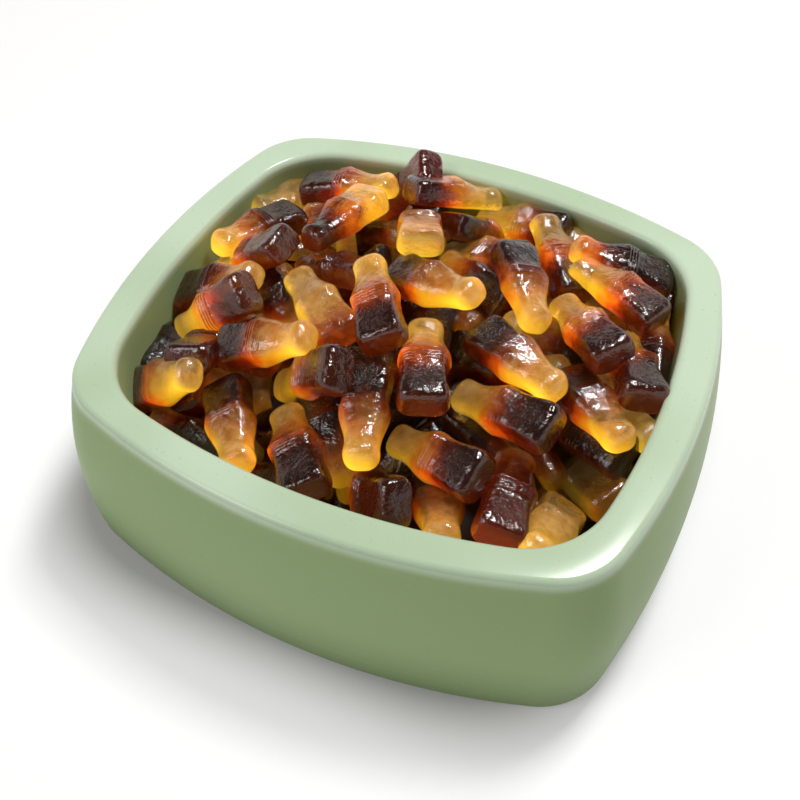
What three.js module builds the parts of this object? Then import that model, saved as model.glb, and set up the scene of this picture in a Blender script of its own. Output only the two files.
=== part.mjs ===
// A thick-rimmed ceramic bowl, square in plan with bowed sides, heaped with gummy cola bottles.
// Millimetres, +Z up. The origin is the centre of the bowl's underside, X runs along the
// front wall, and the front wall faces -Y.
import * as THREE from 'three';

// Driving dimensions of the bowl. The width and depth are the rim's, and the foot's outline
// stands outside them by the flare.
const BOWL_WIDTH = 183.5;
const BOWL_DEPTH = 166.5;
const BOWL_HEIGHT = 64;
const WALL_BULGE = 3;
const FOOT_FLARE = 3.7;
const RIM_INSET = 9.3;
const RIM_OUTER_ROUND = 2;
const RIM_INNER_ROUND = 2.5;
const FOOT_ROUND = 3;
const FLOOR_THICKNESS = 8;
const FLOOR_ROUND = 14;
const CAVITY_DRAFT = 3;

// Plan outline: the radius of each bowed side and of each corner, at the rim, foot and cavity.
const RIM_PLAN = { sideRadius: 210, cornerRadius: 24 };
const FOOT_PLAN = { sideRadius: 235, cornerRadius: 24 };
const CAVITY_PLAN = { sideRadius: 232, cornerRadius: 27.5 };

// Driving dimensions of the heap. Its edge and its crown are measured from the rim's top, and
// its edge lies deeper along the back and left walls.
const HEAP_GAP = 0.4;
const HEAP_EDGE_DROP = 21;
const HEAP_BACK_DROP = 2;
const HEAP_LEFT_DROP = 1.5;
const HEAP_CROWN_RISE = 11;
const HEAP_SHOULDER = 2.3;

// One bottle-shaped lump of the heap's surface.
const LUMP_COUNT = 44;
const LUMP_LENGTH = 23;
const LUMP_NECK_RADIUS = 4.5;
const LUMP_BODY_RADIUS = 7;
const LUMP_TURN = 2.2;
const LUMP_REACH = 0.88;
const GOLDEN_ANGLE = Math.PI * (3 - Math.sqrt(5));

// Facets around the plan outline, counted over one quarter of it, and along the profiles.
const SIDE_STEPS = 7;
const CORNER_STEPS = 8;
const QUARTER_STEPS = 2 * SIDE_STEPS + CORNER_STEPS;
const PLAN_STEPS = 4 * QUARTER_STEPS;
const WALL_STEPS = 6;
const ROUND_STEPS = 3;
const HEAP_RINGS = 21;

const GLAZE = { color: 0xa9b996, roughness: 0.38, metalness: 0 };
const JELLY = { color: 0x6a3214, roughness: 0.32, metalness: 0 };

const mix = THREE.MathUtils.lerp;

// A point of the first quarter of the outline. Each side is an arc that meets the corner's
// arc at a tangent, so the corner's centre lies on a circle about each side's centre.
function quarterPoint(step, halfWidth, halfDepth, plan) {
  const sideX = halfWidth - plan.sideRadius;
  const backY = halfDepth - plan.sideRadius;
  const span = Math.hypot(sideX, backY);
  const reach = plan.sideRadius - plan.cornerRadius;
  const rise = Math.sqrt(reach * reach - (span * span) / 4);
  const cornerX = sideX / 2 - (rise * backY) / span;
  const cornerY = backY / 2 - (rise * sideX) / span;
  const sideEnd = Math.atan2(cornerY, cornerX - sideX);
  const backEnd = Math.atan2(cornerY - backY, cornerX);
  if (step <= SIDE_STEPS) {
    const angle = (sideEnd * step) / SIDE_STEPS;
    return [sideX + plan.sideRadius * Math.cos(angle), plan.sideRadius * Math.sin(angle)];
  }
  if (step <= SIDE_STEPS + CORNER_STEPS) {
    const angle = mix(sideEnd, backEnd, (step - SIDE_STEPS) / CORNER_STEPS);
    return [
      cornerX + plan.cornerRadius * Math.cos(angle),
      cornerY + plan.cornerRadius * Math.sin(angle),
    ];
  }
  const angle = mix(backEnd, Math.PI / 2, (step - SIDE_STEPS - CORNER_STEPS) / SIDE_STEPS);
  return [plan.sideRadius * Math.cos(angle), backY + plan.sideRadius * Math.sin(angle)];
}

// A point of the whole outline, from its four mirrored quarters.
function outlinePoint(index, halfWidth, halfDepth, plan) {
  const quarter = Math.floor(index / QUARTER_STEPS) % 4;
  const along = index % QUARTER_STEPS;
  const mirrored = quarter % 2 === 1;
  const step = mirrored ? QUARTER_STEPS - along : along;
  const [x, y] = quarterPoint(step, halfWidth, halfDepth, plan);
  const signX = quarter === 1 || quarter === 2 ? -1 : 1;
  const signY = quarter >= 2 ? -1 : 1;
  return [signX * x, signY * y];
}

// The outline at a level: inset from the rim's outermost line, and shrunk towards the middle.
function levelPoint(index, level) {
  const halfWidth = BOWL_WIDTH / 2 - level.inset;
  const halfDepth = BOWL_DEPTH / 2 - level.inset;
  const [x, y] = outlinePoint(index, halfWidth, halfDepth, level.plan);
  return [x * level.scale, y * level.scale];
}

// A lathe body whose turns are moved from circles onto the outline of each level. The height
// of a level is a number, or a function of the place for an uneven surface.
function outlineBody(levels) {
  const profile = levels.map((level, order) => new THREE.Vector2(level.scale, order));
  const body = new THREE.LatheGeometry(profile, PLAN_STEPS);
  const position = body.getAttribute('position');
  for (let turn = 0; turn <= PLAN_STEPS; turn += 1) {
    levels.forEach((level, order) => {
      const [x, y] = levelPoint(turn % PLAN_STEPS, level);
      const z = typeof level.z === 'function' ? level.z(x, y) : level.z;
      position.setXYZ(turn * levels.length + order, x, y, z);
    });
  }
  body.deleteAttribute('uv');
  body.computeVertexNormals();
  return body;
}

function planBetween(start, end, share) {
  return {
    sideRadius: mix(start.sideRadius, end.sideRadius, share),
    cornerRadius: mix(start.cornerRadius, end.cornerRadius, share),
  };
}

function planInset(plan, inset) {
  return { sideRadius: plan.sideRadius - inset, cornerRadius: plan.cornerRadius - inset };
}

// Outside of the bowl, from the middle of its underside up to the flat top of the rim.
function outsideLevels() {
  const flatPlan = planInset(FOOT_PLAN, FOOT_ROUND);
  const levels = [{ inset: FOOT_ROUND - FOOT_FLARE, z: 0, plan: flatPlan, scale: 0 }];
  for (let step = 0; step <= ROUND_STEPS; step += 1) {
    const angle = (Math.PI / 2) * (step / ROUND_STEPS);
    const round = FOOT_ROUND * (1 - Math.sin(angle));
    const z = FOOT_ROUND * (1 - Math.cos(angle));
    levels.push({ inset: round - FOOT_FLARE, z, plan: planInset(FOOT_PLAN, round), scale: 1 });
  }
  const wallTop = BOWL_HEIGHT - RIM_OUTER_ROUND;
  for (let step = 1; step < WALL_STEPS; step += 1) {
    const share = step / WALL_STEPS;
    const inset = -WALL_BULGE * 4 * share * (1 - share) - FOOT_FLARE * (1 - share);
    const z = mix(FOOT_ROUND, wallTop, share);
    levels.push({ inset, z, plan: planBetween(FOOT_PLAN, RIM_PLAN, share), scale: 1 });
  }
  for (let step = 0; step <= ROUND_STEPS; step += 1) {
    const angle = (Math.PI / 2) * (step / ROUND_STEPS);
    const inset = RIM_OUTER_ROUND * (1 - Math.cos(angle));
    const z = wallTop + RIM_OUTER_ROUND * Math.sin(angle);
    levels.push({ inset, z, plan: planInset(RIM_PLAN, inset), scale: 1 });
  }
  return levels;
}

// How far the drafted cavity wall stands in from the rim's outermost line at a height.
function wallInset(z) {
  const top = BOWL_HEIGHT - RIM_INNER_ROUND;
  const bottom = FLOOR_THICKNESS + FLOOR_ROUND;
  return RIM_INSET + RIM_INNER_ROUND + CAVITY_DRAFT * ((top - z) / (top - bottom));
}

// Inside of the bowl, from the rim's inner edge down the drafted wall to the floor's middle.
function insideLevels() {
  const levels = [];
  for (let step = 0; step <= ROUND_STEPS; step += 1) {
    const angle = (Math.PI / 2) * (step / ROUND_STEPS);
    const inset = RIM_INSET + RIM_INNER_ROUND * Math.sin(angle);
    const z = BOWL_HEIGHT - RIM_INNER_ROUND * (1 - Math.cos(angle));
    levels.push({ inset, z, plan: CAVITY_PLAN, scale: 1 });
  }
  const footInset = wallInset(FLOOR_THICKNESS + FLOOR_ROUND);
  for (let step = 0; step <= ROUND_STEPS; step += 1) {
    const angle = (Math.PI / 2) * (step / ROUND_STEPS);
    const inset = footInset + FLOOR_ROUND * (1 - Math.cos(angle));
    const z = FLOOR_THICKNESS + FLOOR_ROUND * (1 - Math.sin(angle));
    levels.push({ inset, z, plan: CAVITY_PLAN, scale: 1 });
  }
  levels.push({ inset: footInset, z: FLOOR_THICKNESS, plan: CAVITY_PLAN, scale: 0 });
  return levels;
}

// The lumps lie on a golden-angle spiral, each turned by its own angle.
function makeLumps() {
  const lumps = [];
  const halfWidth = BOWL_WIDTH / 2 - RIM_INSET - RIM_INNER_ROUND;
  const halfDepth = BOWL_DEPTH / 2 - RIM_INSET - RIM_INNER_ROUND;
  for (let count = 0; count < LUMP_COUNT; count += 1) {
    const radius = LUMP_REACH * Math.sqrt((count + 0.5) / LUMP_COUNT);
    const around = count * GOLDEN_ANGLE;
    const turned = count * LUMP_TURN;
    lumps.push({
      x: halfWidth * radius * Math.cos(around),
      y: halfDepth * radius * Math.sin(around),
      alongX: Math.cos(turned),
      alongY: Math.sin(turned),
    });
  }
  return lumps;
}

const lumps = makeLumps();

// Height that the lumps add at a place: each is a tapered half-capsule lying on the mound.
function lumpHeight(x, y) {
  let top = 0;
  for (const lump of lumps) {
    const along = (x - lump.x) * lump.alongX + (y - lump.y) * lump.alongY;
    const share = THREE.MathUtils.clamp(along / LUMP_LENGTH + 0.5, 0, 1);
    const nearest = (share - 0.5) * LUMP_LENGTH;
    const awayX = x - lump.x - nearest * lump.alongX;
    const awayY = y - lump.y - nearest * lump.alongY;
    const radius = mix(LUMP_NECK_RADIUS, LUMP_BODY_RADIUS, share);
    const square = radius * radius - awayX * awayX - awayY * awayY;
    top = Math.max(top, square > 0 ? Math.sqrt(square) : 0);
  }
  return top;
}

// Smooth mound under the lumps, lowest along the wall and highest in the middle.
function moundHeight(x, y) {
  const across = x / (BOWL_WIDTH / 2 - RIM_INSET);
  const along = y / (BOWL_DEPTH / 2 - RIM_INSET);
  const share = Math.min(1, Math.hypot(across, along)) ** HEAP_SHOULDER;
  const crown = BOWL_HEIGHT + HEAP_CROWN_RISE - LUMP_BODY_RADIUS;
  const edge = BOWL_HEIGHT - HEAP_EDGE_DROP - HEAP_BACK_DROP * along + HEAP_LEFT_DROP * across;
  return mix(crown, edge, share);
}

function heapSurface(x, y) {
  return moundHeight(x, y) + lumpHeight(x, y);
}

// The heap fills the cavity with a small gap all round and ends in its uneven top.
function heapLevels() {
  const floor = FLOOR_THICKNESS + HEAP_GAP;
  const footInset = wallInset(FLOOR_THICKNESS + FLOOR_ROUND) + HEAP_GAP;
  const edgeInset = wallInset(BOWL_HEIGHT - HEAP_EDGE_DROP - HEAP_BACK_DROP) + HEAP_GAP;
  const levels = [{ inset: footInset, z: floor, plan: CAVITY_PLAN, scale: 0 }];
  for (let step = 0; step <= ROUND_STEPS; step += 1) {
    const angle = (Math.PI / 2) * (step / ROUND_STEPS);
    const inset = footInset + FLOOR_ROUND * (1 - Math.sin(angle));
    const z = floor + FLOOR_ROUND * (1 - Math.cos(angle));
    levels.push({ inset, z, plan: CAVITY_PLAN, scale: 1 });
  }
  for (let ring = 0; ring <= HEAP_RINGS; ring += 1) {
    const scale = 1 - ring / HEAP_RINGS;
    levels.push({ inset: edgeInset, z: heapSurface, plan: CAVITY_PLAN, scale });
  }
  return levels;
}

function makePart(name, geometry, finish) {
  const mesh = new THREE.Mesh(geometry, new THREE.MeshStandardMaterial(finish));
  mesh.name = name;
  return mesh;
}

const part = new THREE.Group();
part.add(makePart('bowl', outlineBody([...outsideLevels(), ...insideLevels()]), GLAZE));
part.add(makePart('gummy_heap', outlineBody(heapLevels()), JELLY));

export default part;
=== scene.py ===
"""A thick-rimmed bowl of sage-green glazed ceramic, heaped with gummy cola bottles.

Metres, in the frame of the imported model: the origin is the centre of the bowl's underside, Z is up
and the front wall faces -Y. Each sweet in sight is given by the pixels of its two ends. It is laid
on the mound through those pixels, and then all the sweets are pushed apart until they rest on each
other, while each one stays on its pixels.
"""

import sys
import logging
import math
from collections.abc import Callable
from dataclasses import dataclass, field
from enum import Enum

import bmesh
import bpy
import numpy as np
from mathutils import Matrix, Vector


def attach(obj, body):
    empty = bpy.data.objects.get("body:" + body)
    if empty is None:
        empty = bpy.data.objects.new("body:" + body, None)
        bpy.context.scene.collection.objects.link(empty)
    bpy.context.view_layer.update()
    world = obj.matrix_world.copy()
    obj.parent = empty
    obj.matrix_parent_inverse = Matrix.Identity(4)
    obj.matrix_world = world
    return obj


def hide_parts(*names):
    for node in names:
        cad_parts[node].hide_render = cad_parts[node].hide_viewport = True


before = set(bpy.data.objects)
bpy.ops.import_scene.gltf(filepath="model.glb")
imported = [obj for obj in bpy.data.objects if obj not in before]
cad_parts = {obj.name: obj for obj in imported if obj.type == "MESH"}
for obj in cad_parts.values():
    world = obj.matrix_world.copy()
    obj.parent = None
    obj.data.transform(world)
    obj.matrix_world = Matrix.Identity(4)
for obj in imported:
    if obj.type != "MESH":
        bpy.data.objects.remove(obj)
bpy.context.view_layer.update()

LOG = logging.getLogger("gummy_bowl")
BODY = "root"
MM = 0.001
Pixel = tuple[float, float]
Pair = tuple[float, float]
Triple = tuple[float, float, float]
Colour = Triple
Socket = bpy.types.NodeSocket
Thing = bpy.types.Object


def mix(start: float, end: float, share: float) -> float:
    """A value between two others."""
    return start + (end - start) * share


def smooth_step(low: float, high: float, value: np.ndarray | float) -> np.ndarray | float:
    """0 below low, 1 above high, and a smooth rise between them."""
    share = np.clip((value - low) / (high - low), 0.0, 1.0)
    return share * share * (3.0 - 2.0 * share)


def srgb(red: float, green: float, blue: float) -> Colour:
    """A colour for a shader, from the 0 to 255 values that a screen shows."""

    def linear(value: float) -> float:
        """One channel as light."""
        share = value / 255.0
        return share / 12.92 if share <= 0.04045 else ((share + 0.055) / 1.055) ** 2.4

    return linear(red), linear(green), linear(blue)


# ---------------------------------------------------------------------------- working by hand


def clear_selection() -> None:
    """Leaves nothing selected and nothing active."""
    for thing in bpy.context.selected_objects:
        thing.select_set(False)
    bpy.context.view_layer.objects.active = None


def pick(thing: Thing) -> None:
    """Selects one object alone and makes it active."""
    clear_selection()
    thing.select_set(True)
    bpy.context.view_layer.objects.active = thing


def apply_modifier(thing: Thing, kind: str, **settings: object) -> None:
    """Adds a modifier to an object and applies it.

    Args:
        thing: The object to change.
        kind: The modifier's type.
        **settings: Values for the modifier's own properties.
    """
    pick(thing)
    modifier = thing.modifiers.new(kind.lower(), kind)
    for name, value in settings.items():
        setattr(modifier, name, value)
    bpy.ops.object.modifier_apply(modifier=modifier.name)


def close_and_turn_out(thing: Thing, merge: float = 1e-6) -> None:
    """Merges doubled points and turns every face outwards.

    Args:
        thing: The object to clean.
        merge: Points nearer than this become one.
    """
    pick(thing)
    bpy.ops.object.mode_set(mode="EDIT")
    bpy.ops.mesh.select_all(action="SELECT")
    bpy.ops.mesh.remove_doubles(threshold=merge)
    bpy.ops.mesh.normals_make_consistent(inside=False)
    bpy.ops.mesh.select_all(action="DESELECT")
    bpy.ops.object.mode_set(mode="OBJECT")
    bpy.ops.object.shade_smooth()


def loft_by_extrusion(name: str, around: int, rings: int, place: Callable[[int, int], Triple]) -> Thing:
    """A closed skin made by extruding one loop of points from ring to ring.

    Args:
        name: Name of the new object.
        around: Points in each loop.
        rings: Number of loops.
        place: Gives the place of a point from its ring and its turn in the loop.

    Returns:
        The new object, whose first and last loops are filled.
    """
    clear_selection()
    bpy.ops.mesh.primitive_circle_add(vertices=around, radius=1.0, fill_type="NOTHING")
    skin = bpy.context.object
    skin.name = skin.data.name = name
    bpy.ops.object.mode_set(mode="EDIT")
    mesh = bmesh.from_edit_mesh(skin.data)
    turn_of = mesh.verts.layers.int.new("turn")
    mesh.verts.ensure_lookup_table()
    for vertex in mesh.verts:
        vertex[turn_of] = vertex.index
    bpy.ops.mesh.select_all(action="SELECT")
    for ring in range(rings):
        if ring:
            bpy.ops.mesh.extrude_region_move()
        mesh = bmesh.from_edit_mesh(skin.data)
        turn_of = mesh.verts.layers.int["turn"]
        for vertex in mesh.verts:
            if vertex.select:
                vertex.co = place(ring, vertex[turn_of])
        if ring == 0:
            bpy.ops.mesh.edge_face_add()
            bpy.ops.mesh.select_mode(type="VERT")
        bmesh.update_edit_mesh(skin.data)
    bpy.ops.mesh.edge_face_add()
    bpy.ops.mesh.select_all(action="DESELECT")
    bpy.ops.object.mode_set(mode="OBJECT")
    skin.data.attributes.remove(skin.data.attributes["turn"])
    return skin


def stand_for(piece: Thing, node: str) -> None:
    """Makes a piece ride on the body and replace a CAD node, and logs its faces."""
    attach(piece, BODY)
    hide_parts(node)
    LOG.info("%s: %d faces, for %s", piece.name, len(piece.data.polygons), node)


# ---------------------------------------------------------------------------- the viewpoint


@dataclass(frozen=True)
class Viewpoint:
    """The photograph's pinhole view over an 800 by 800 picture."""

    picture: float = 800.0
    focal_px: float = 1003.9
    centre_px: Pixel = (410.38, 385.86)
    distance: float = 334.25 * MM
    elevation: float = 49.12
    azimuth: float = 23.74
    roll: float = 0.19
    aim_height: float = 31.0 * MM
    sensor: float = 36.0
    clip: Pair = (0.01, 20.0)

    @property
    def back(self) -> np.ndarray:
        """Direction from what is looked at to the eye."""
        across, rise = math.radians(self.azimuth), math.radians(self.elevation)
        flat = math.cos(rise)
        return np.array([math.sin(across) * flat, -math.cos(across) * flat, math.sin(rise)])

    @property
    def axes(self) -> tuple[np.ndarray, np.ndarray]:
        """The picture's rightward and upward directions."""
        right = np.cross(-self.back, [0.0, 0.0, 1.0])
        right /= np.linalg.norm(right)
        rise = np.cross(right, -self.back)
        turn = math.radians(self.roll)
        rightward = right * math.cos(turn) + rise * math.sin(turn)
        upward = rise * math.cos(turn) - right * math.sin(turn)
        return rightward, upward

    @property
    def eye(self) -> np.ndarray:
        """Where the camera stands."""
        return np.array([0.0, 0.0, self.aim_height]) + self.back * self.distance

    def ray(self, pixel: Pixel) -> np.ndarray:
        """Direction through a pixel, whose part along the view is 1."""
        rightward, upward = self.axes
        across = (pixel[0] - self.centre_px[0]) / self.focal_px
        rise = (self.centre_px[1] - pixel[1]) / self.focal_px
        return -self.back + rightward * across + upward * rise

    def pixel(self, point: np.ndarray) -> Pixel:
        """The pixel on which a point of the scene falls."""
        rightward, upward = self.axes
        away = np.asarray(point) - self.eye
        depth = away @ -self.back
        across = self.focal_px * (away @ rightward) / depth
        rise = self.focal_px * (away @ upward) / depth
        return self.centre_px[0] + across, self.centre_px[1] - rise

    def build(self) -> None:
        """Adds the camera and makes it the scene's own."""
        rightward, upward = self.axes
        data = bpy.data.cameras.new("photo_camera")
        data.sensor_width = self.sensor
        data.lens = self.focal_px / self.picture * self.sensor
        data.shift_x = (self.picture / 2 - self.centre_px[0]) / self.picture
        data.shift_y = (self.centre_px[1] - self.picture / 2) / self.picture
        data.clip_start, data.clip_end = self.clip
        camera = bpy.data.objects.new("photo_camera", data)
        bpy.context.scene.collection.objects.link(camera)
        turned = Matrix((rightward, upward, self.back)).transposed().to_4x4()
        turned.translation = Vector(self.eye)
        camera.matrix_world = turned
        bpy.context.scene.camera = camera


# ---------------------------------------------------------------------------- the bowl


@dataclass(frozen=True)
class Plan:
    """A square outline with bowed sides: the radius of each side and of each corner."""

    side: float
    corner: float

    def inset(self, amount: float) -> "Plan":
        """The same outline drawn further in."""
        return Plan(self.side - amount, self.corner - amount)

    def towards(self, other: "Plan", share: float) -> "Plan":
        """An outline between this one and another."""
        return Plan(mix(self.side, other.side, share), mix(self.corner, other.corner, share))

    def corner_centre(self, half_width: float, half_depth: float) -> Pair:
        """Centre of the corner's arc, which meets both side arcs at a tangent."""
        side_x, back_y = half_width - self.side, half_depth - self.side
        span = math.hypot(side_x, back_y)
        rise = math.sqrt((self.side - self.corner) ** 2 - span * span / 4.0)
        return side_x / 2.0 - rise * back_y / span, back_y / 2.0 - rise * side_x / span


@dataclass(frozen=True)
class Level:
    """One loop of the bowl's skin: how far in, how high, on which plan, and its shrinkage."""

    inset: float
    height: float
    plan: Plan
    scale: float = 1.0


@dataclass(frozen=True)
class Glaze:
    """Satin sage glaze: soft streaks round the wall, fine specks and a soft sheen."""

    pale: Colour = srgb(189, 207, 182)
    deep: Colour = srgb(173, 193, 164)
    speck: Colour = srgb(152, 175, 140)
    # The wall and foot colours are painted shade: darker than the rim, and darker still at the foot.
    wall: Colour = srgb(142, 163, 116)
    foot: Colour = srgb(119, 139, 95)
    rim_height: float = 62.5 * MM
    rim_fade: float = 3.0 * MM
    coat_fade: float = 5.0 * MM
    foot_shade_span: float = 30.0 * MM
    streak_scales: Triple = (6.0, 6.0, 420.0)
    streak_share: float = 0.25
    streak_depth: float = 0.4 * MM
    cloud_scale: float = 14.0
    speck_scale: float = 900.0
    speck_share: float = 0.4
    roughness: float = 0.36
    roughness_spread: Pair = (-0.04, 0.06)
    coat: float = 0.4
    wall_coat: float = 0.02
    coat_roughness: float = 0.16
    shine: float = 0.05

    def make(self) -> bpy.types.Material:
        """The glaze as a procedural material."""
        web = NodeWeb("sage_glaze")
        shader = web.shader
        place = web.object_place()
        streaks = web.noise(web.stretched(place, self.streak_scales), 1.0, 3.0)
        clouds = web.noise(place, self.cloud_scale, 2.0)
        specks = web.noise(place, self.speck_scale, 2.0)
        height = web.parts(place)[2]
        rim = web.blend(web.ranged(clouds, 0.35, 0.65), self.pale, self.deep)
        # Painted shade: the wall under the rim darkens further towards the foot.
        wall = web.blend(web.ranged(height, 0.0, self.foot_shade_span), self.foot, self.wall)
        in_rim = web.ranged(height, self.rim_height - self.rim_fade, self.rim_height)
        streaked = web.ranged(streaks, 0.5, 0.75, 0.0, self.streak_share)
        body = web.blend(streaked, web.blend(in_rim, wall, rim), self.wall)
        colour = web.blend(web.ranged(specks, 0.66, 0.74, 0.0, self.speck_share), body, self.speck)
        web.feed(shader, "Base Color", colour)
        smooth, dull = (self.roughness + spread for spread in self.roughness_spread)
        web.feed(shader, "Roughness", web.ranged(clouds, 0.3, 0.7, smooth, dull))
        web.feed(shader, "Normal", web.bump(streaks, 0.10, self.streak_depth))
        shader.inputs["Specular IOR Level"].default_value = self.shine
        low = self.rim_height - self.coat_fade
        web.feed(shader, "Coat Weight", web.ranged(height, low, self.rim_height, self.wall_coat, self.coat))
        shader.inputs["Coat Roughness"].default_value = self.coat_roughness
        return web.material


@dataclass
class GlazedBowl:
    """The bowl, from the middle of its underside over the rim to the middle of its floor."""

    width: float = 183.5 * MM
    depth: float = 166.5 * MM
    height: float = 64.0 * MM
    wall_bulge: float = 3.0 * MM
    foot_flare: float = 3.7 * MM
    rim_inset: float = 9.3 * MM
    rim_outer_round: float = 2.0 * MM
    rim_inner_round: float = 2.5 * MM
    foot_round: float = 3.0 * MM
    floor_thickness: float = 8.0 * MM
    floor_round: float = 14.0 * MM
    draft: float = 3.0 * MM
    rim_plan: Plan = Plan(210.0 * MM, 24.0 * MM)
    foot_plan: Plan = Plan(235.0 * MM, 24.0 * MM)
    cavity_plan: Plan = Plan(232.0 * MM, 27.5 * MM)
    side_steps: int = 14
    corner_steps: int = 14
    wall_steps: int = 12
    glaze: Glaze = field(default_factory=Glaze)

    @property
    def around(self) -> int:
        """Points in each loop of the skin."""
        return 4 * (2 * self.side_steps + self.corner_steps)

    @property
    def wall_foot(self) -> float:
        """Height at which the cavity's wall runs into the floor's round."""
        return self.floor_thickness + self.floor_round

    def outline(self, level: Level, turn: int) -> Pair:
        """A point of a level's outline.

        Args:
            level: The loop that it lies on.
            turn: Its number round the loop, from the right wall's middle.

        Returns:
            Its x and y.
        """
        steps = 2 * self.side_steps + self.corner_steps
        quarter, along = divmod(turn, steps)
        step = steps - along if quarter % 2 else along
        half_width, half_depth = self.width / 2 - level.inset, self.depth / 2 - level.inset
        side, corner = level.plan.side, level.plan.corner
        corner_x, corner_y = level.plan.corner_centre(half_width, half_depth)
        side_end = math.atan2(corner_y, corner_x - half_width + side)
        back_end = math.atan2(corner_y - half_depth + side, corner_x)
        if step <= self.side_steps:
            angle = side_end * step / self.side_steps
            x, y = half_width - side + side * math.cos(angle), side * math.sin(angle)
        elif step <= self.side_steps + self.corner_steps:
            angle = mix(side_end, back_end, (step - self.side_steps) / self.corner_steps)
            x, y = corner_x + corner * math.cos(angle), corner_y + corner * math.sin(angle)
        else:
            share = (step - self.side_steps - self.corner_steps) / self.side_steps
            angle = mix(back_end, math.pi / 2, share)
            x, y = side * math.cos(angle), half_depth - side + side * math.sin(angle)
        sign_x = -1.0 if quarter in (1, 2) else 1.0
        sign_y = -1.0 if quarter in (2, 3) else 1.0
        return sign_x * x * level.scale, sign_y * y * level.scale

    def cavity_inset(self, height: float) -> float:
        """How far the drafted cavity wall stands in from the rim's outermost line."""
        top = self.height - self.rim_inner_round
        drafted = self.draft * (top - height) / (top - self.wall_foot)
        return self.rim_inset + self.rim_inner_round + drafted

    def outside(self) -> list[Level]:
        """Loops from the underside's middle up to the rim."""
        inner_foot = self.foot_plan.inset(self.foot_round)
        levels = [
            Level(self.foot_round - self.foot_flare, 0.0, inner_foot, scale) for scale in (0.02, 0.5, 0.9)
        ]
        for step in range(6):
            angle = math.pi / 2 * step / 5
            inset = self.foot_round * (1 - math.sin(angle))
            rise = self.foot_round * (1 - math.cos(angle))
            levels.append(Level(inset - self.foot_flare, rise, self.foot_plan.inset(inset)))
        wall_top = self.height - self.rim_outer_round
        for step in range(1, self.wall_steps):
            share = step / self.wall_steps
            inset = -self.wall_bulge * 4 * share * (1 - share) - self.foot_flare * (1 - share)
            plan = self.foot_plan.towards(self.rim_plan, share)
            levels.append(Level(inset, mix(self.foot_round, wall_top, share), plan))
        for step in range(10):
            angle = math.pi / 2 * step / 9
            inset = self.rim_outer_round * (1 - math.cos(angle))
            rise = wall_top + self.rim_outer_round * math.sin(angle)
            levels.append(Level(inset, rise, self.rim_plan.inset(inset)))
        return levels

    def inside(self) -> list[Level]:
        """Loops from the rim's inner edge down to the floor's middle."""
        levels = []
        for step in range(7):
            angle = math.pi / 2 * step / 6
            inset = self.rim_inset + self.rim_inner_round * math.sin(angle)
            fall = self.height - self.rim_inner_round * (1 - math.cos(angle))
            levels.append(Level(inset, fall, self.cavity_plan))
        for step in range(1, 6):
            height = mix(self.height - self.rim_inner_round, self.wall_foot, step / 6)
            levels.append(Level(self.cavity_inset(height), height, self.cavity_plan))
        foot = self.cavity_inset(self.wall_foot)
        for step in range(7):
            angle = math.pi / 2 * step / 6
            inset = foot + self.floor_round * (1 - math.cos(angle))
            height = self.floor_thickness + self.floor_round * (1 - math.sin(angle))
            levels.append(Level(inset, height, self.cavity_plan))
        for scale in (0.6, 0.02):
            levels.append(Level(foot + self.floor_round, self.floor_thickness, self.cavity_plan, scale))
        return levels

    def build(self) -> None:
        """Extrudes the bowl's skin from loop to loop and dresses it."""
        levels = [*self.outside(), *self.inside()]

        def place(ring: int, turn: int) -> Triple:
            """Where a point of the skin goes."""
            return (*self.outline(levels[ring], turn), levels[ring].height)

        bowl = loft_by_extrusion("glazed_bowl", self.around, len(levels), place)
        close_and_turn_out(bowl)
        bowl.data.materials.append(self.glaze.make())
        stand_for(bowl, "bowl")


# ---------------------------------------------------------------------------- shader webs


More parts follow.
